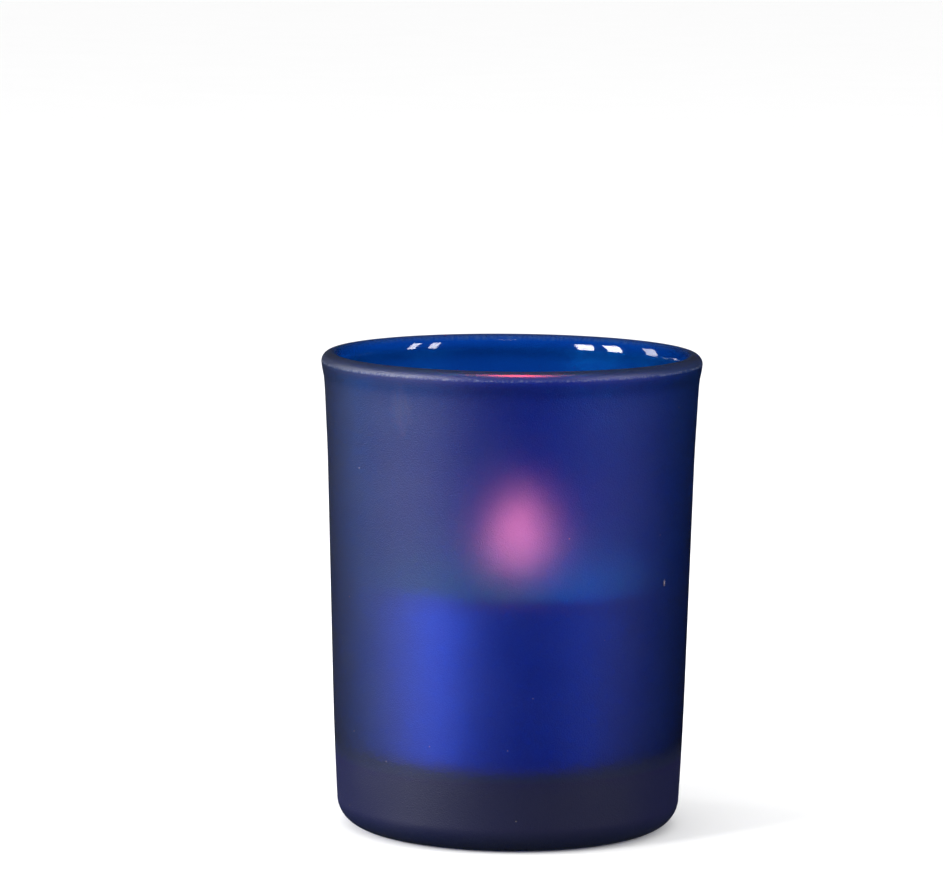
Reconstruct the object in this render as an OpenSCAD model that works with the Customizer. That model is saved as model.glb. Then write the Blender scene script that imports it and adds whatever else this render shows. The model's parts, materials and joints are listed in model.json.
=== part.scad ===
// Votive candle: a frosted cobalt glass cup with a thick floor, and the lit tealight that stands in it.
// The origin is the centre of the glass foot, on the surface that it stands on. +Z is up.

/* [Glass cup] */
// Height from the foot to the top of the lip
glass_h = 66; // [60:1:74]
// Outside diameter half way up
waist_d = 49.8; // [49:0.1:54]
// How much the wall leans out on each side, in mm for each mm of height
wall_lean = 0.028; // [0.01:0.001:0.05]
// How much further the lip flares out on each side
lip_flare = 0.7; // [0:0.05:1.2]
// How much further the wall tucks in on each side at the foot
foot_tuck = 0.35; // [0:0.05:0.6]
// Radius of the rounded edge at the foot
foot_round = 3.8; // [2:0.2:5]
// Height of the solid glass under the cup's floor
floor_h = 8.8; // [6:0.1:14]
// Thickness of the lip
lip_t = 2.7; // [2.2:0.1:3]
// Inside radius at the floor
floor_r = 21.3; // [20.8:0.1:21.6]
// Radius of the rounded edge round the floor
floor_round = 3.6; // [0.8:0.1:3.6]
// Depth of the hollow under the foot
punt_depth = 1.2; // [0.4:0.1:2]

/* [Tealight cup] */
// Outside diameter of the metal cup's wall
tin_d = 37.6; // [36.6:0.1:37.8]
// Height of the metal cup, with its rolled edge
tin_h = 25.4; // [18:0.1:27]
// Thickness of the sheet metal
sheet_t = 0.2; // [0.15:0.01:0.25]
// Radius of the rolled edge, at the middle of the sheet
curl_r = 0.35; // [0.3:0.01:0.5]
// How far the panel in the bottom is raised
panel_rise = 0.6; // [0.4:0.1:1]

/* [Wax and wick] */
// Depth of the wax surface below the top of the metal cup
wax_drop = 1.9; // [1.2:0.1:4]
// Diameter of the pool of molten wax
pool_d = 31; // [20:0.5:34]
// Depth of the pool of molten wax at its middle
pool_depth = 1.8; // [1:0.1:3]
// Diameter of the wick
wick_d = 1.9; // [1.4:0.1:2]
// Length of wick that is free above the pool
wick_free = 5.8; // [4.5:0.1:7]
// How far the free end of the wick leans over, in degrees
wick_lean = 28; // [10:1:40]
// Diameter of the sustainer's disc
disc_d = 14; // [12:0.5:16]
// Height of the sustainer's neck above its disc
neck_h = 4; // [3:0.1:6]

/* [Hidden] */
$fn = 96;

waist_r = waist_d / 2;
flare_h = 16;              // height of the stretch where the lip flares
tuck_h = 20;               // height of the stretch where the wall tucks in
lip_round = lip_t / 2;
lip_z = glass_h - lip_round;
punt_edge_r = 14.6;        // where the hollow under the foot meets the bearing ring
punt_flat_r = 11;          // radius of the hollow's flat middle
tin_r = tin_d / 2;
tin_inner_r = tin_r - sheet_t;
tin_corner = 1.2;          // outside radius of the metal cup's bottom edge
panel_r = 12.5;            // radius of the raised panel in its bottom
panel_slope = 0.9;         // width of the sloping step round the panel
curl_z = tin_h - curl_r - sheet_t / 2;
curl_end = -70;            // angle at which the rolled edge stops, below the horizontal
gap = 0.02;                // gap between pieces that fit round each other
wax_z = tin_h - wax_drop;
pool_r = pool_d / 2;
pool_slope = 3;            // width of the pool's sloping shore
pool_dish = 0.8;           // depth at the foot of the shore, as a share of the depth at the middle
wick_r = wick_d / 2;
disc_t = 0.3;
disc_z = panel_rise + sheet_t + gap;
neck_t = 0.35;             // wall thickness of the sustainer's neck
neck_r = wick_r + gap + neck_t;
bend_r = 4;                // radius of the curve in the wick's free end
straight_l = 1;            // length of free wick below the curve
bend_z = wax_z + straight_l;
bend_l = bend_r * wick_lean * PI / 180;
end_l = wick_free - straight_l - bend_l;
tip_r = wick_r - 0.08;     // the burnt tip is slimmer
tip_round = 0.5;           // rounding of the tip's end
tip_overlap = 0.3;         // how far the tip reaches back into the curve

// Outside radius of the glass at height z: a straight lean, with a flare at the lip and a tuck at the foot.
function outside_r(z) =
    waist_r + wall_lean * (z - glass_h / 2)
    + lip_flare * pow(max(0, z - glass_h + flare_h) / flare_h, 2)
    - foot_tuck * pow(max(0, tuck_h - z) / tuck_h, 2);

// Points on an arc about [x, z], from angle a to angle b.
function arc(x, z, r, a, b, n = 8) =
    [for (i = [0:n]) let (t = a + (b - a) * i / n) [x + r * cos(t), z + r * sin(t)]];

lip_x = outside_r(lip_z) - lip_round;
foot_x = outside_r(foot_round) - foot_round;

module glass_cup() {
    wall_zs = [for (i = [1:19]) foot_round + (lip_z - foot_round) * i / 20];
    color([0.07, 0.13, 0.5, 0.85])
    rotate_extrude()
    polygon(concat(
        [[0, punt_depth], [punt_flat_r, punt_depth], [punt_edge_r, 0]],
        arc(foot_x, foot_round, foot_round, -90, 0),
        [for (z = wall_zs) [outside_r(z), z]],
        arc(lip_x, lip_z, lip_round, 0, 180, 12),
        arc(floor_r - floor_round, floor_h + floor_round, floor_round, 0, -90, 10),
        [[0, floor_h]]
    ));
}

module tealight_cup() {
    curl_x = tin_r - sheet_t / 2 + curl_r;
    color([0.8, 0.8, 0.82])
    translate([0, 0, floor_h])
    rotate_extrude()
    polygon(concat(
        [[0, panel_rise], [panel_r, panel_rise], [panel_r + panel_slope, 0]],
        arc(tin_r - tin_corner, tin_corner, tin_corner, -90, 0, 6),
        arc(curl_x, curl_z, curl_r - sheet_t / 2, 180, curl_end, 14),
        arc(curl_x, curl_z, curl_r + sheet_t / 2, curl_end, 180, 14),
        arc(tin_r - tin_corner, tin_corner, tin_corner - sheet_t, 0, -90, 6),
        [[panel_r + panel_slope, sheet_t], [panel_r, panel_rise + sheet_t], [0, panel_rise + sheet_t]]
    ));
}

// Half section of the molten pool, larger all round by grow.
module pool_section(grow = 0) {
    polygon([
        [0, wax_z - pool_depth - grow],
        [pool_r - pool_slope, wax_z - pool_depth * pool_dish - grow],
        [pool_r + grow, wax_z],
        [0, wax_z]
    ]);
}

module wax() {
    corner = tin_corner - sheet_t;
    color([0.95, 0.93, 0.86])
    translate([0, 0, floor_h])
    difference() {
        rotate_extrude()
        polygon(concat(
            [
                [0, panel_rise + sheet_t + gap],
                [panel_r, panel_rise + sheet_t + gap],
                [panel_r + panel_slope, sheet_t + gap]
            ],
            arc(tin_inner_r - gap - corner, sheet_t + gap + corner, corner, -90, 0, 6),
            [[tin_inner_r - gap, wax_z], [0, wax_z]]
        ));
        rotate_extrude() pool_section(gap);
        cylinder(r = wick_r + gap, h = tin_h);
        cylinder(r = disc_d / 2 + gap, h = disc_z + disc_t + gap);
        cylinder(r = neck_r + gap, h = disc_z + disc_t + neck_h + gap);
    }
}

module melt_pool() {
    color([0.96, 0.9, 0.7, 0.6])
    translate([0, 0, floor_h])
    difference() {
        rotate_extrude() pool_section();
        cylinder(r = wick_r + gap, h = tin_h);
    }
}

module wick_sustainer() {
    color([0.72, 0.72, 0.7])
    translate([0, 0, floor_h + disc_z])
    difference() {
        union() {
            cylinder(d = disc_d, h = disc_t);
            cylinder(r = neck_r, h = disc_t + neck_h);
        }
        translate([0, 0, -1])
        cylinder(r = wick_r + gap, h = disc_t + neck_h + 2);
    }
}

module wick() {
    color([0.2, 0.17, 0.15])
    translate([0, 0, floor_h]) {
        translate([0, 0, disc_z]) cylinder(r = wick_r, h = bend_z - disc_z);
        translate([bend_r, 0, bend_z])
        rotate([90, 0, 180])
        rotate_extrude(angle = wick_lean)
        translate([bend_r, 0])
        circle(r = wick_r);
        translate([bend_r * (1 - cos(wick_lean)), 0, bend_z + bend_r * sin(wick_lean)])
        rotate([0, wick_lean, 0])
        rotate_extrude()
        polygon(concat(
            [[0, -tip_overlap], [tip_r, -tip_overlap]],
            arc(tip_r - tip_round, end_l - tip_round, tip_round, 0, 90, 4),
            [[0, end_l]]
        ));
    }
}

glass_cup();
tealight_cup();
wax();
melt_pool();
wick_sustainer();
wick();
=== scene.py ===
"""The looks of a votive candle: a frosted cobalt glass cup with a lit tealight in it.

Sizes are in millimetres, as in the CAD source, and are turned into metres as meshes are made. The
softboxes, the camera's place, and the depths of bumps and of scattered light are in metres.
"""

import json
import math

import bmesh
import bpy
from mathutils import Matrix, Vector

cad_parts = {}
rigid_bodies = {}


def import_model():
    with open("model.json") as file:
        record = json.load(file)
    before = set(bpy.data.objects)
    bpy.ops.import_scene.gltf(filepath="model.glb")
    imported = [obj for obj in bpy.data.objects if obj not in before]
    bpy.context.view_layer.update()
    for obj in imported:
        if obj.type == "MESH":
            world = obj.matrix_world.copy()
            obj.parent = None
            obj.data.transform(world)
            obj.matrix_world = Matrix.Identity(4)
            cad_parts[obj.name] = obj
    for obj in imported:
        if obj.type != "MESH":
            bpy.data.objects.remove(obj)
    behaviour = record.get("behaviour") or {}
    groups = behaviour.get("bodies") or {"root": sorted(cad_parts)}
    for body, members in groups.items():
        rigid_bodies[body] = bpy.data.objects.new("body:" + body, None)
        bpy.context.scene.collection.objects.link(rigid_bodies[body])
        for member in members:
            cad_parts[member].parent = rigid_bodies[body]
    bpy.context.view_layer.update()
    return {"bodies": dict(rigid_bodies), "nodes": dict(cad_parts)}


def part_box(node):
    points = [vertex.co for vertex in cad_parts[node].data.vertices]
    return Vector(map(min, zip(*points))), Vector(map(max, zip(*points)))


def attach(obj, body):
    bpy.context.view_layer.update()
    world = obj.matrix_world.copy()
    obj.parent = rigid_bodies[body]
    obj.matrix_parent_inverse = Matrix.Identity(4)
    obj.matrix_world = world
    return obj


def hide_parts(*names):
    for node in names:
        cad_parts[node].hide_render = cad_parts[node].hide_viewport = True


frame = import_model()

MM = 0.001

# ---------------------------------------------------------------- sizes, as in the CAD source

glass_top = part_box("glass_cup")[1][2] / MM
tin_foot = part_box("tealight_cup")[0][2] / MM
tin_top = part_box("tealight_cup")[1][2] / MM
wax_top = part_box("wax")[1][2] / MM
wick_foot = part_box("wick")[0][2] / MM

WAIST_R = 24.9
WALL_LEAN = 0.028
LIP_FLARE, FLARE_H = 0.7, 16.0
FOOT_TUCK, TUCK_H = 0.35, 20.0
FOOT_ROUND = 3.8
LIP_ROUND = 1.35
FLOOR_R, FLOOR_ROUND = 21.3, 3.6
PUNT_DEPTH, PUNT_EDGE_R, PUNT_FLAT_R = 1.2, 14.6, 11.0
TIN_R = 18.8
SHEET_T = 0.2
TIN_CORNER = 1.2
CURL_R = 0.35
CURL_END = -70
PANEL_R, PANEL_SLOPE, PANEL_RISE = 12.5, 0.9, 0.6
POOL_R = 15.5
WICK_R = 0.95
WICK_STRAIGHT = 1.0
WICK_BEND_R = 4.0
WICK_LEAN = math.radians(28)
WICK_FREE = 5.8

# ---------------------------------------------------------------- sizes that the CAD source does not have

BEAD = 0.15                          # how far the wall draws in under the lip
BEAD_DROP = 3.6                      # how far below the top it is drawn in most
BEAD_ABOVE, BEAD_BELOW = 1.0, 4.0    # over what height that fades, upwards and downwards
LIP_DEPTH = 2.2                      # how far the lip drops as it rounds over to the inside
WICK_TIP = 0.6                       # length over which the wick's tip rounds off


def outside_r(z):
    """Outside radius of the glass at height z."""
    r = WAIST_R + WALL_LEAN * (z - glass_top / 2)
    r += LIP_FLARE * (max(0.0, z - glass_top + FLARE_H) / FLARE_H) ** 2
    r -= FOOT_TUCK * (max(0.0, TUCK_H - z) / TUCK_H) ** 2
    above = z - glass_top + BEAD_DROP
    reach = BEAD_ABOVE if above > 0 else BEAD_BELOW
    r -= BEAD * math.exp(-((above / reach) ** 2))
    return r


def arc(x, z, r, start, end, n):
    """Points on an arc about (x, z), between two angles in degrees."""
    angles = [math.radians(start + (end - start) * i / n) for i in range(n + 1)]
    return [(x + r * math.cos(a), z + r * math.sin(a)) for a in angles]


def line(a, b, n):
    """Points from a to b, without either end."""
    shares = [i / n for i in range(1, n)]
    return [(a[0] + (b[0] - a[0]) * t, a[1] + (b[1] - a[1]) * t) for t in shares]


# ---------------------------------------------------------------- meshes


def new_object(name, bm):
    """Turns a bmesh in millimetres into a smooth object in metres."""
    bmesh.ops.recalc_face_normals(bm, faces=bm.faces)
    bmesh.ops.scale(bm, vec=(MM, MM, MM), verts=bm.verts)
    mesh = bpy.data.meshes.new(name)
    bm.to_mesh(mesh)
    bm.free()
    mesh.polygons.foreach_set("use_smooth", [True] * len(mesh.polygons))
    obj = bpy.data.objects.new(name, mesh)
    bpy.context.scene.collection.objects.link(obj)
    return obj


def skin(bm, rings, sides):
    """Joins each ring of points to the next one with faces. A ring may be a single point."""
    for low, high in zip(rings, rings[1:]):
        for i in range(sides):
            j = (i + 1) % sides
            corners = [
                low[i % len(low)],
                low[j % len(low)],
                high[j % len(high)],
                high[i % len(high)],
            ]
            corners = list(dict.fromkeys(corners))
            if len(corners) > 2:
                bm.faces.new(corners)


def lathe(name, profile, segments, change=None):
    """Turns a profile of (radius, height) points about Z. change may move each point it is given."""
    bm = bmesh.new()
    rings = []
    for r, z in profile:
        if r < 1e-6:
            rings.append([bm.verts.new((0, 0, z))])
            continue
        ring = []
        for i in range(segments):
            a = 2 * math.pi * i / segments
            rr, zz = change(r, z, a) if change else (r, z)
            ring.append(bm.verts.new((rr * math.cos(a), rr * math.sin(a), zz)))
        rings.append(ring)
    skin(bm, rings, segments)
    return new_object(name, bm)


# ---------------------------------------------------------------- materials


class Nodes:
    """Short names for building a node tree."""

    def __init__(self, name):
        self.mat = bpy.data.materials.new(name)
        self.mat.use_nodes = True
        self.tree = self.mat.node_tree
        self.bsdf = self.tree.nodes["Principled BSDF"]
        self.out = self.tree.nodes["Material Output"]

    def add(self, kind, inputs=None, **settings):
        node = self.tree.nodes.new(kind)
        for key, value in settings.items():
            setattr(node, key, value)
        for key, value in (inputs or {}).items():
            self.put(node.inputs[key], value)
        return node

    def put(self, socket, value):
        if isinstance(value, bpy.types.NodeSocket):
            self.tree.links.new(value, socket)
        else:
            socket.default_value = value

    def principled(self, **values):
        for key, value in values.items():
            self.put(self.bsdf.inputs[key.replace("_", " ")], value)

    def math(self, op, a, b=0.5, c=0.5, clamp=False):
        node = self.add("ShaderNodeMath", {0: a, 1: b, 2: c}, operation=op, use_clamp=clamp)
        return node.outputs[0]

    def noise(self, vector, scale, detail=3.0, rough=0.5):
        inputs = {"Vector": vector, "Scale": scale, "Detail": detail, "Roughness": rough}
        return self.add("ShaderNodeTexNoise", inputs).outputs[0]

    def span(self, value, low, high, to_low=0.0, to_high=1.0):
        node = self.add(
            "ShaderNodeMapRange",
            {0: value, 1: low, 2: high, 3: to_low, 4: to_high},
            clamp=True,
        )
        return node.outputs[0]

    def mix(self, factor, a, b):
        node = self.add("ShaderNodeMix", {"Factor": factor}, data_type="RGBA")
        self.put(node.inputs[6], a)
        self.put(node.inputs[7], b)
        return node.outputs[2]

    def bump(self, height, strength, distance):
        inputs = {"Height": height, "Strength": strength, "Distance": distance}
        return self.add("ShaderNodeBump", inputs).outputs[0]


def place(n, scale=None):
    """The point on the object, in millimetres unless another scale is given."""
    coords = n.add("ShaderNodeTexCoord").outputs["Object"]
    size = scale or (1 / MM, 1 / MM, 1 / MM)
    return n.add("ShaderNodeVectorMath", {0: coords, 1: size}, operation="MULTIPLY").outputs[0]


SMUDGE = (-14.4, -20.6, 60.6)    # a pale smudge on the wall under the lip
SMUDGE_R = 1.9
CHIP = (21.0, -13.4, 36.0)       # a small chip in the frost
CHIP_R = 0.26
SPOT_STRETCH = 2.0               # how much taller than wide both are
WEAR_AND_HIGHLIGHT_DROP = 1.15                 # how far below the top the lip's whitish line runs: partly wear, partly a painted highlight
CLEAR_ROUGH = 0.05               # roughness of the glass where it is not etched
LIP_POLISH = 0.13                # how much smoother the etched lip is than the etched wall
WEAR_AND_HIGHLIGHT_HAZE = 0.12                 # how much of the surface scatters light in that whitish line, partly wear, partly a painted highlight
SPECK_HAZE = 0.3                 # the same at a speck or in the chip
BASE_HAZE = 0.036                # the same round the thick floor
DYE_DENSITY = 800.0              # per metre; with the colour, how much the blue glass absorbs


def near(n, at, spot, radius, ragged):
    """1 at a tall spot on the surface, falling to 0 about a radius away, with a ragged edge."""
    squat = (1, 1, 1 / SPOT_STRETCH)
    here = n.add("ShaderNodeVectorMath", {0: at, 1: squat}, operation="MULTIPLY").outputs[0]
    there = (spot[0], spot[1], spot[2] / SPOT_STRETCH)
    away = n.add("ShaderNodeVectorMath", {0: here, 1: there}, operation="DISTANCE").outputs["Value"]
    return n.span(n.math("MULTIPLY_ADD", ragged, radius, away), radius * 1.6, radius * 0.5)


def cobalt_glass():
    """Frosted blue glass. The frost and rim attributes say where it is etched and where the lip is."""
    n = Nodes("cobalt_glass")
    at = place(n)
    height = n.add("ShaderNodeSeparateXYZ", {0: at}).outputs[2]
    frost = n.add("ShaderNodeAttribute", attribute_name="frost").outputs["Fac"]
    rim = n.add("ShaderNodeAttribute", attribute_name="rim").outputs["Fac"]
    grain = n.noise(at, 6.5, 1.0, 0.5)
    mottle = n.noise(at, 0.16, 3.0)
    blotch = n.noise(at, 0.9, 4.0, 0.6)

    uneven = n.span(mottle, 0.3, 0.7, -0.03, 0.03)
    fine = n.span(grain, 0.25, 0.75, 0.42, 0.5)
    etched = n.math("MULTIPLY_ADD", rim, -LIP_POLISH, n.math("ADD", uneven, fine))
    rough = n.math("MULTIPLY_ADD", frost, etched, CLEAR_ROUGH)

    cell = n.add("ShaderNodeTexVoronoi", {"Vector": at, "Scale": 0.34, "Randomness": 1.0})
    rare = n.math("GREATER_THAN", cell.outputs["Color"], 0.5)
    dot = n.span(cell.outputs["Distance"], 0.034, 0.02)
    speck = n.math("MULTIPLY", dot, n.math("MULTIPLY", rare, frost))

    # A whitish broken line just under the lip's top: partly wear, partly a painted highlight where the
    # lip's curve catches the light.
    away = n.math("ABSOLUTE", n.math("SUBTRACT", height, glass_top - WEAR_AND_HIGHLIGHT_DROP))
    patchy = n.span(n.noise(at, 2.6, 3.0, 0.7), 0.44, 0.66)
    wear_and_highlight_band = n.math("MULTIPLY", n.span(away, 0.28, 0.06), patchy)
    wear_and_highlight = n.math("MULTIPLY", n.math("MULTIPLY", wear_and_highlight_band, frost), WEAR_AND_HIGHLIGHT_HAZE)
    specks_wear_and_highlight = n.math("MAXIMUM", wear_and_highlight, n.math("MULTIPLY", speck, SPECK_HAZE))

    streaks = n.noise(place(n, (1.2 / MM, 1.2 / MM, 0.25 / MM)), 1.0, 3.0)
    smeared = n.span(streaks, 0.3, 0.7, 0.02, 0.06)
    smudge = n.math("MULTIPLY", near(n, at, SMUDGE, SMUDGE_R, blotch), smeared)
    chip = near(n, at, CHIP, CHIP_R, grain)

    lip_haze = n.math("MULTIPLY", rim, n.span(grain, 0.25, 0.75, 0.016, 0.038))
    below_floor = n.span(height, tin_foot + 3.8, tin_foot + 1.0)
    above_foot = n.span(height, 0.6, 3.4, 0.6, 1.0)
    thick = n.math("MULTIPLY", below_floor, above_foot)
    haze = n.math("MAXIMUM", lip_haze, n.math("MULTIPLY", thick, BASE_HAZE))
    marks = n.math("MAXIMUM", smudge, n.math("MULTIPLY", chip, SPECK_HAZE))
    solid = n.math("MAXIMUM", n.math("MAXIMUM", haze, specks_wear_and_highlight), marks)

    tint = n.mix(n.span(grain, 0.2, 0.8), (0.03, 0.24, 0.87, 1), (0.04, 0.34, 1.0, 1))
    tint = n.mix(n.math("MULTIPLY", thick, frost), tint, (0.04, 0.08, 0.88, 1))
    # The lip is tinted warm: painted warm light from the flame and painted reflection of the key light on
    # the lip.
    tint = n.mix(n.math("MULTIPLY", rim, 0.65), tint, (0.6, 0.46, 0.46, 1))
    tint = n.mix(n.math("MULTIPLY", smudge, 8.0, clamp=True), tint, (0.42, 0.34, 0.3, 1))
    # Whitens the specks and the line under the lip; along that line the white is a painted highlight.
    tint = n.mix(n.span(specks_wear_and_highlight, 0.0, WEAR_AND_HIGHLIGHT_HAZE), tint, (0.8, 0.8, 0.85, 1))
    n.principled(
        Base_Color=n.mix(n.span(chip, 0.0, 0.3), tint, (0.7, 0.52, 0.46, 1)),
        Roughness=rough,
        IOR=1.5,
        Transmission_Weight=n.math("SUBTRACT", 1.0, solid),
        Specular_IOR_Level=0.03,
        Normal=n.bump(n.math("MULTIPLY", grain, frost), 0.8, 0.00006),
    )
    dye = n.add("ShaderNodeVolumeAbsorption", {"Color": (0.0, 0.82, 0.85, 1), "Density": DYE_DENSITY})
    n.tree.links.new(dye.outputs[0], n.out.inputs["Volume"])
    return n.mat


def aluminium():
    n = Nodes("pressed_aluminium")
    at = place(n)
    drawn = place(n, (3 / MM, 3 / MM, 0.08 / MM))
    streaks = n.noise(drawn, 1.0, 3.0)
    dents = n.noise(at, 0.35, 2.0)
    height = n.math("MULTIPLY_ADD", streaks, 0.25, dents)
    n.principled(
        Base_Color=(0.94, 0.94, 0.95, 1),
        Metallic=0.8,
        Roughness=n.span(streaks, 0.3, 0.7, 0.34, 0.46),
        Normal=n.bump(height, 0.5, 0.0001),
    )
    return n.mat


def paraffin():
    n = Nodes("paraffin_wax")
    at = place(n)
    cloud = n.noise(at, 0.4, 3.0)
    n.principled(
        Base_Color=n.mix(n.span(cloud, 0.35, 0.65), (0.86, 0.83, 0.79, 1), (0.92, 0.9, 0.87, 1)),
        Roughness=n.span(cloud, 0.3, 0.7, 0.32, 0.5),
        Subsurface_Weight=0.8,
        Subsurface_Radius=(0.004, 0.0025, 0.0015),
        Subsurface_Scale=1.0,
        Normal=n.bump(n.noise(at, 1.4, 4.0), 0.3, 0.0002),
    )
    return n.mat


def molten_wax():
    n = Nodes("molten_wax")
    at = place(n)
    ripple = n.noise(at, 0.12, 1.0)
    cloud = n.noise(at, 0.3, 2.0)
    n.principled(
        Base_Color=n.mix(n.span(cloud, 0.3, 0.7), (0.56, 0.51, 0.47, 1), (0.63, 0.58, 0.53, 1)),
        Roughness=0.04,
        IOR=1.43,
        Subsurface_Weight=0.9,
        Subsurface_Radius=(0.006, 0.004, 0.002),
        Subsurface_Scale=1.0,
        Normal=n.bump(ripple, 0.1, 0.001),
    )
    return n.mat


def steel():
    n = Nodes("sustainer_steel")
    at = place(n)
    spots = n.noise(at, 0.9, 4.0)
    n.principled(
        Base_Color=n.mix(n.span(spots, 0.4, 0.65), (0.55, 0.55, 0.55, 1), (0.42, 0.41, 0.4, 1)),
        Metallic=1.0,
        Roughness=n.span(spots, 0.3, 0.7, 0.28, 0.45),
        Normal=n.bump(spots, 0.2, 0.0001),
    )
    return n.mat


def burnt_cotton():
    n = Nodes("wick_cotton")
    at = place(n)
    height = n.add("ShaderNodeSeparateXYZ", {0: at}).outputs[2]
    ragged = n.math("MULTIPLY_ADD", n.noise(at, 1.6, 3.0), 1.6, height)
    char = n.span(ragged, wax_top + 1.2, wax_top + 3.2)
    fibre = n.noise(at, 9.0, 4.0)
    cotton = n.mix(fibre, (0.5, 0.44, 0.32, 1), (0.7, 0.64, 0.5, 1))
    soot = n.mix(fibre, (0.006, 0.005, 0.005, 1), (0.03, 0.026, 0.024, 1))
    ember = n.span(ragged, wax_top + 5.6, wax_top + 6.6, 0.0, 2.5)
    n.principled(
        Base_Color=n.mix(char, cotton, soot),
        Roughness=n.span(char, 0, 1, 0.45, 0.95),
        Emission_Color=(1.0, 0.22, 0.03, 1),
        Emission_Strength=ember,
        Normal=n.bump(fibre, 0.6, 0.0001),
    )
    return n.mat


# ---------------------------------------------------------------- glass cup


def glass_profile():
    foot_x = outside_r(FOOT_ROUND) - FOOT_ROUND
    lip_z = glass_top - LIP_ROUND
    lip_x = outside_r(lip_z) - LIP_ROUND
    points = [(0, PUNT_DEPTH), (5, PUNT_DEPTH), (PUNT_FLAT_R - 0.6, PUNT_DEPTH)]
    points += [(PUNT_FLAT_R + 0.3, PUNT_DEPTH - 0.15)]
    points += [(PUNT_EDGE_R - 0.4, 0.1), (PUNT_EDGE_R + 0.2, 0)]
    points += arc(foot_x, FOOT_ROUND, FOOT_ROUND, -90, 0, 16)
    steps = 120
    zs = [FOOT_ROUND + (lip_z - FOOT_ROUND) * i / steps for i in range(1, steps)]
    points += [(outside_r(z), z) for z in zs]
    points += arc(lip_x, lip_z, LIP_ROUND, 0, 90, 12)
    steps = 20
    for i in range(1, steps + 1):
        t = math.radians(90 * i / steps)
        drop = LIP_DEPTH * (1 - math.cos(t))
        points.append((lip_x - LIP_ROUND * math.sin(t), glass_top - drop))
    inner_top = points[-1]
    inner_foot = (FLOOR_R, tin_foot + FLOOR_ROUND)
    points += line(inner_top, inner_foot, 40)
    points += arc(FLOOR_R - FLOOR_ROUND, tin_foot + FLOOR_ROUND, FLOOR_ROUND, 0, -90, 10)
    points += line((FLOOR_R - FLOOR_ROUND, tin_foot), (0, tin_foot), 8)
    points += [(0, tin_foot)]
    return points


def frost_at(r, z):
    """How etched the glass is there, from 0, clear, to 1. It is etched outside and over the lip."""
    if z < FOOT_ROUND:
        return 1.0
    if z > glass_top - LIP_DEPTH:
        across = (outside_r(glass_top - LIP_ROUND) - r) / (2 * LIP_ROUND)
        return min(1.0, max(0.0, (0.9 - across) / 0.35))
    return 1.0 if r > outside_r(z) - 0.25 else 0.0


def rim_at(r, z):
    """How much of the lip's haze and painted warm light a point has: 1 over the lip, fading down its two
    sides.
    """
    return max(0.0, min(1.0, (z - glass_top + 1.4) / 0.5)) * frost_at(r, z)


def make_glass():
    obj = lathe("glass_cup_shell", glass_profile(), 224)
    for name, strength in (("frost", frost_at), ("rim", rim_at)):
        layer = obj.data.attributes.new(name, "FLOAT", "POINT")
        values = [strength(math.hypot(v.co.x, v.co.y) / MM, v.co.z / MM) for v in obj.data.vertices]
        layer.data.foreach_set("value", values)
    obj.data.materials.append(cobalt_glass())
    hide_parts("glass_cup")
    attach(obj, "holder")


make_glass()

# ---------------------------------------------------------------- tealight


def tin_profile():
    curl_x = TIN_R - SHEET_T / 2 + CURL_R
    curl_z = tin_top - CURL_R - SHEET_T / 2
    z0 = tin_foot
    points = [(0, z0 + PANEL_RISE), (PANEL_R, z0 + PANEL_RISE), (PANEL_R + PANEL_SLOPE, z0)]
    points += arc(TIN_R - TIN_CORNER, z0 + TIN_CORNER, TIN_CORNER, -90, 0, 8)
    points += line((TIN_R, z0 + TIN_CORNER), (TIN_R, curl_z), 24)
    points += arc(curl_x, curl_z, CURL_R - SHEET_T / 2, 180, CURL_END, 16)
    points += arc(curl_x, curl_z, CURL_R + SHEET_T / 2, CURL_END, 180, 16)
    points += line((TIN_R - SHEET_T, curl_z), (TIN_R - SHEET_T, z0 + TIN_CORNER), 12)
    points += arc(TIN_R - TIN_CORNER, z0 + TIN_CORNER, TIN_CORNER - SHEET_T, 0, -90, 8)
    points += [(PANEL_R + PANEL_SLOPE, z0 + SHEET_T), (PANEL_R, z0 + PANEL_RISE + SHEET_T)]
    points += [(0, z0 + PANEL_RISE + SHEET_T)]
    return points


tin = lathe("tealight_cup_shell", tin_profile(), 192)
tin.data.materials.append(aluminium())
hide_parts("tealight_cup")
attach(tin, "tealight")


def braid_point(path_s, a):
    """Radius of the braided wick, path_s mm along it, at angle a."""
    turns = 2 * math.pi * path_s / 3.2
    over = max(math.cos(4 * a + turns), math.cos(4 * a - turns))
    return WICK_R * (0.86 + 0.12 * over)


def wick_path(s):
    """Place and lean of the wick's middle line, s mm along it from its foot."""
    bend_z = wax_top + WICK_STRAIGHT
    straight = bend_z - wick_foot
    bend = WICK_BEND_R * WICK_LEAN
    if s <= straight:
        return Vector((0, 0, wick_foot + s)), 0.0
    t = min(s - straight, bend) / WICK_BEND_R
    x = WICK_BEND_R * (1 - math.cos(t))
    z = bend_z + WICK_BEND_R * math.sin(t)
    past = max(0.0, s - straight - bend)
    return Vector((x + past * math.sin(t), 0, z + past * math.cos(t))), t


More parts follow.
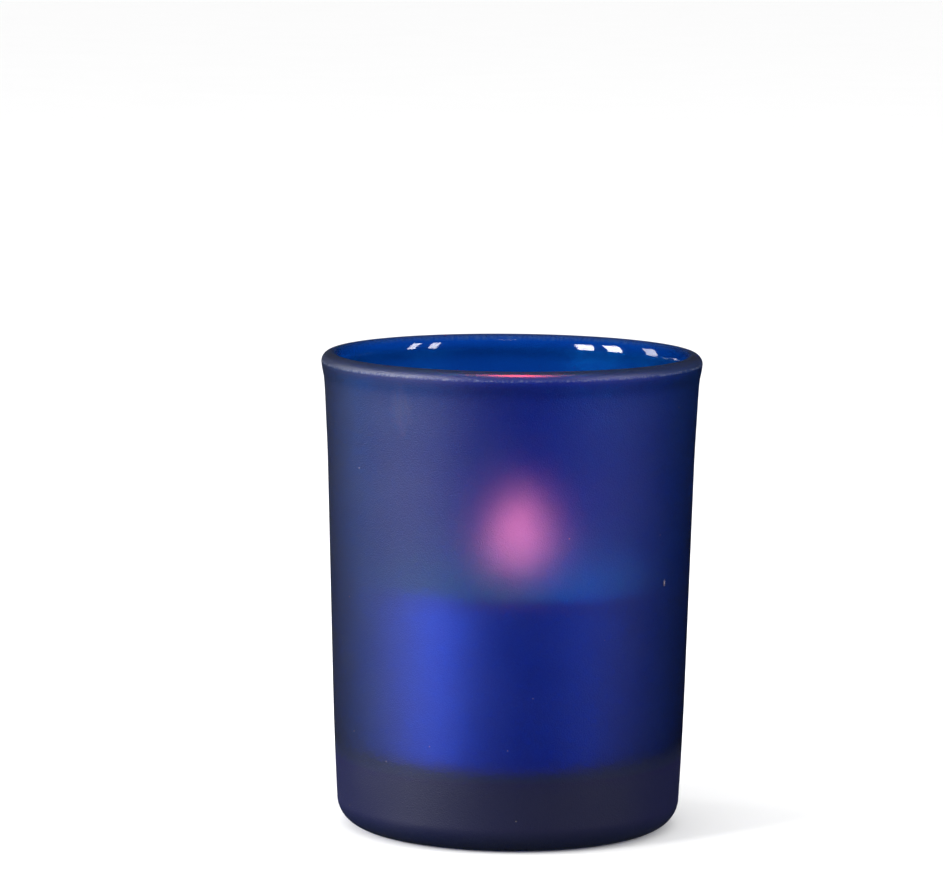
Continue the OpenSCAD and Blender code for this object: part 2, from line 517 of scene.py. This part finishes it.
def make_wick():
    length = wax_top - wick_foot + WICK_FREE
    bm = bmesh.new()
    sides, steps = 40, 170
    rings = []
    for k in range(steps + 1):
        s = length * k / steps
        centre, tilt = wick_path(s)
        across = Vector((math.cos(tilt), 0, -math.sin(tilt)))
        side = Vector((0, 1, 0))
        left = min(1.0, max(0.0, length - s) / WICK_TIP)
        cap = min(1.0, math.sqrt(max(0.0, 1 - (1 - left) ** 2)) + 0.02)
        ring = []
        for i in range(sides):
            a = 2 * math.pi * i / sides
            r = braid_point(s, a) * cap
            ring.append(bm.verts.new(centre + across * (r * math.cos(a)) + side * (r * math.sin(a))))
        rings.append(ring)
    skin(bm, rings, sides)
    bm.faces.new(rings[0][::-1])
    bm.faces.new(rings[-1])
    obj = new_object("wick_braid", bm)
    obj.data.materials.append(burnt_cotton())
    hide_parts("wick")
    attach(obj, "tealight")


make_wick()

sustainer = frame["nodes"]["wick_sustainer"]
sustainer.data.materials.clear()
sustainer.data.materials.append(steel())

# ---------------------------------------------------------------- wax and molten pool

WAX_R = TIN_R - SHEET_T - 0.03
CREEP = 0.35            # how far the wax climbs the metal cup's wall
CREEP_REACH = 0.45      # how far from the wall that is felt
RING_Z = wax_top - CREEP
POOL_Z = RING_Z - 0.1
POOL_CREEP = 0.3        # how far the liquid climbs the wick
POOL_CREEP_REACH = 0.4  # how far from the wick that is felt
DISH_DEPTH = 1.4
SHORE = 3.6             # width of the slope from the firm ring down to the dish
GAP = 0.02              # gap left under the liquid and under the firm wax
WALL_BAND = 2.4         # width of the band by the wall that has closer points


def smooth_step(t):
    t = max(0.0, min(1.0, t))
    return t * t * (3 - 2 * t)


def wax_surface(r):
    """Height of the firm wax at radius r: a dish, a level ring, and a rise against the wall."""
    dish = DISH_DEPTH * smooth_step((POOL_R - r) / SHORE)
    rise = CREEP * math.exp(-(WAX_R - r) / CREEP_REACH)
    return RING_Z - dish + rise


def shore_wobble(r, z, a):
    """Makes the shore a little uneven. The wall and the middle stay round."""
    if r > WAX_R - 0.01:
        return r, z
    share = math.sin(math.pi * r / WAX_R) ** 0.5
    return r + share * (0.22 * math.sin(2 * a + 0.6) + 0.13 * math.sin(5 * a + 2.0)), z


def make_wax():
    corner = TIN_CORNER - SHEET_T
    low = tin_foot + SHEET_T + GAP
    points = [(0, low + PANEL_RISE), (PANEL_R, low + PANEL_RISE), (PANEL_R + PANEL_SLOPE, low)]
    points += arc(WAX_R - corner, low + corner, corner, -90, 0, 6)
    inside = WAX_R - WALL_BAND
    radii = [WAX_R - WALL_BAND * (i / 12) ** 2 for i in range(13)]
    radii += [inside - inside * i / 40 for i in range(1, 41)]
    points += [(max(0.0, r), wax_surface(r)) for r in radii]
    obj = lathe("wax_block", points, 128, change=shore_wobble)
    obj.data.materials.append(paraffin())
    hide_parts("wax")
    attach(obj, "tealight")


def make_pool():
    steps = 48
    reach = POOL_R - 0.5
    radii = [reach * i / steps for i in range(steps + 1)]
    under = [(r, wax_surface(r) + GAP) for r in radii]
    over = []
    for r in reversed(radii):
        past_wick = max(0.0, r - WICK_R)
        over.append((r, POOL_Z + POOL_CREEP * math.exp(-past_wick / POOL_CREEP_REACH)))
    obj = lathe("melt_pool_liquid", under + over, 128, change=shore_wobble)
    obj.data.materials.append(molten_wax())
    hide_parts("melt_pool")
    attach(obj, "tealight")


make_wax()
make_pool()

# ---------------------------------------------------------------- flame

# The flame is made twice. "flame" is what is seen directly and in reflections. "flame_core" is what is
# seen only through glass: the dye and the tint take nearly all its red, so it is far stronger and redder.

FLAME_RISE = 2.4        # height of the flame's foot above the wax
FLAME_H = 13.6


def flame_mesh(name, x, rise, height, width, lean):
    """A drop shape that starts rise mm above the wax and leans towards +X as it goes up."""
    bm = bmesh.new()
    sides, steps = 32, 40
    rings = []
    for k in range(steps + 1):
        t = k / steps
        bulge = math.sin(math.pi * t ** 0.62) ** 0.9
        r = width / 2 * bulge * (1 - 0.25 * t)
        cx = x + lean * (t - 0.5 * t * t)
        z = wax_top + rise + height * t
        if r < 1e-3:
            rings.append([bm.verts.new((cx, 0, z))])
            continue
        ring = []
        for i in range(sides):
            a = 2 * math.pi * i / sides
            ring.append(bm.verts.new((cx + r * math.cos(a), r * math.sin(a), z)))
        rings.append(ring)
    skin(bm, rings, sides)
    return new_object(name, bm)


def flame_light():
    """Dark blue at the foot, then yellow, then orange at the tip."""
    n = Nodes("flame_light")
    n.tree.nodes.remove(n.bsdf)
    height = n.add("ShaderNodeSeparateXYZ", {0: place(n)}).outputs[2]
    foot = wax_top + FLAME_RISE
    ramp = n.add("ShaderNodeValToRGB", {0: n.span(height, foot, foot + FLAME_H)})
    stops = ramp.color_ramp.elements
    stops[0].position, stops[0].color = 0.0, (0.02, 0.04, 0.25, 1)
    stops[1].position, stops[1].color = 1.0, (0.7, 0.22, 0.03, 1)
    middle = (
        (0.12, (0.1, 0.05, 0.08, 1)),
        (0.25, (0.8, 0.4, 0.1, 1)),
        (0.4, (1.0, 0.66, 0.25, 1)),
        (0.7, (1.0, 0.62, 0.2, 1)),
    )
    for position, colour in middle:
        stop = stops.new(position)
        stop.color = colour
    glow = n.add("ShaderNodeEmission", {"Color": ramp.outputs[0], "Strength": 2.4})
    n.tree.links.new(glow.outputs[0], n.out.inputs["Surface"])
    return n.mat


def flame_core_light():
    n = Nodes("flame_core_light")
    n.tree.nodes.remove(n.bsdf)
    glow = n.add("ShaderNodeEmission", {"Color": (1.0, 0.0062, 0.0047, 1), "Strength": 225.0})
    n.tree.links.new(glow.outputs[0], n.out.inputs["Surface"])
    return n.mat


flame = flame_mesh("flame", 0.7, FLAME_RISE, FLAME_H, 6.6, 1.8)
flame.data.materials.append(flame_light())
flame.visible_transmission = False
core = flame_mesh("flame_core", 0.8, 3.6, 10.8, 8.2, 1.5)
core.data.materials.append(flame_core_light())
core.visible_camera = core.visible_glossy = False
for part in (flame, core):
    part.visible_diffuse = part.visible_shadow = False
    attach(part, "tealight")


def flame_lamp(name, rise, radius, energy, colour):
    """A small round lamp in the flame, which lights the wax. It rides on the tealight too."""
    lamp = bpy.data.lights.new(name, "POINT")
    lamp.energy, lamp.shadow_soft_size = energy, radius * MM
    lamp.color = colour
    obj = bpy.data.objects.new(name, lamp)
    obj.location = Vector((1.2, 0, wax_top + rise)) * MM
    bpy.context.scene.collection.objects.link(obj)
    obj.parent = frame["bodies"]["tealight"]
    obj.visible_camera = obj.visible_glossy = obj.visible_transmission = False


flame_lamp("flame_glow", 8.0, 2.5, 0.007, (1.0, 0.34, 0.13))

# ---------------------------------------------------------------- floor, lights, camera

# Two things here are unlike a real studio, to keep the glass as dark as in the photo: the floor is dark
# violet where it is seen through glass, and the white world is left out of reflections and of what is
# seen through glass.

FLOOR_RADIUS = 6000

bm = bmesh.new()
bmesh.ops.create_circle(bm, cap_ends=True, segments=96, radius=FLOOR_RADIUS)
floor = new_object("floor", bm)
paper = Nodes("floor_paper")
fibres = paper.noise(place(paper), 0.02, 3.0)
through_glass = paper.add("ShaderNodeLightPath").outputs["Is Transmission Ray"]
white = paper.mix(fibres, (0.87, 0.87, 0.87, 1), (0.89, 0.89, 0.89, 1))
paper.principled(
    Base_Color=paper.mix(through_glass, white, (0.22, 0.13, 0.31, 1)),
    Roughness=0.9,
    Specular_IOR_Level=0.2,
)
floor.data.materials.append(paper.mat)
floor.visible_glossy = floor.visible_diffuse = False


def softbox(name, azimuth, elevation, distance, width, height, radiance):
    """A rectangular light that faces the glass. Azimuth 0 is the camera's side and 90 the right."""
    light = bpy.data.lights.new(name, "AREA")
    light.shape = "RECTANGLE"
    light.size, light.size_y = width, height
    light.energy = radiance * 4 * width * height
    obj = bpy.data.objects.new(name, light)
    a, e = math.radians(azimuth), math.radians(elevation)
    aim = Vector((0, 0, 0.03))
    out = Vector((math.sin(a) * math.cos(e), -math.cos(a) * math.cos(e), math.sin(e)))
    obj.location = aim + out * distance
    obj.rotation_mode = "QUATERNION"
    obj.rotation_quaternion = out.to_track_quat("Z", "Y")
    obj.visible_camera = False
    bpy.context.scene.collection.objects.link(obj)


# name, azimuth and elevation in degrees, then distance, width and height in metres, then radiance
SOFTBOXES = (
    ("key_a", -53, 18, 0.9, 0.2, 0.4, 19.0),
    ("key_b", -76, 18, 0.9, 0.2, 0.4, 18.0),
    ("key_c", -112, 14, 0.9, 0.2, 0.36, 6.0),
    ("fill_a", 57, 21, 0.9, 0.1, 0.4, 11.5),
    ("fill_b", 74, 21, 0.9, 0.1, 0.4, 11.5),
    ("front_a", 0, 49, 1.2, 0.06, 0.05, 10.0),
    ("front_b", 9, 49, 1.2, 0.06, 0.05, 10.0),
)
for settings in SOFTBOXES:
    softbox(*settings)

world = bpy.data.worlds.new("studio")
bpy.context.scene.world = world
world.use_nodes = True
background = world.node_tree.nodes["Background"]
background.inputs["Color"].default_value = (0.9, 0.9, 0.9, 1)
background.inputs["Strength"].default_value = 1.3
world.cycles_visibility.transmission = False
world.cycles_visibility.glossy = False
bpy.context.scene.view_settings.view_transform = "Standard"

CAMERA_LENS = 186.5                    # in millimetres, on a sensor 36 mm wide
CAMERA_ELEVATION = 8.8                 # in degrees
CAMERA_DISTANCE = 0.680                # in metres
CAMERA_ROLL = 0.5                      # in degrees
AIM_UP, AIM_LEFT = 0.01963, 0.00552    # how far off the glass's middle the camera aims, in metres


def make_camera():
    elevation = math.radians(CAMERA_ELEVATION)
    middle = Vector((0, 0, 0.033))
    data = bpy.data.cameras.new("camera")
    data.lens, data.sensor_width = CAMERA_LENS, 36
    data.clip_start, data.clip_end = 0.01, 50
    obj = bpy.data.objects.new("camera", data)
    back = Vector((0, -math.cos(elevation), math.sin(elevation)))
    obj.location = middle + CAMERA_DISTANCE * back
    upward = Vector((0, math.sin(elevation), math.cos(elevation)))
    aim = middle + upward * AIM_UP - Vector((AIM_LEFT, 0, 0))
    look = (aim - obj.location).to_track_quat("-Z", "Y").to_matrix().to_4x4()
    roll = Matrix.Rotation(math.radians(CAMERA_ROLL), 4, "Z")
    obj.rotation_mode = "QUATERNION"
    obj.rotation_quaternion = (look @ roll).to_quaternion()
    bpy.context.scene.collection.objects.link(obj)
    bpy.context.scene.camera = obj


make_camera()
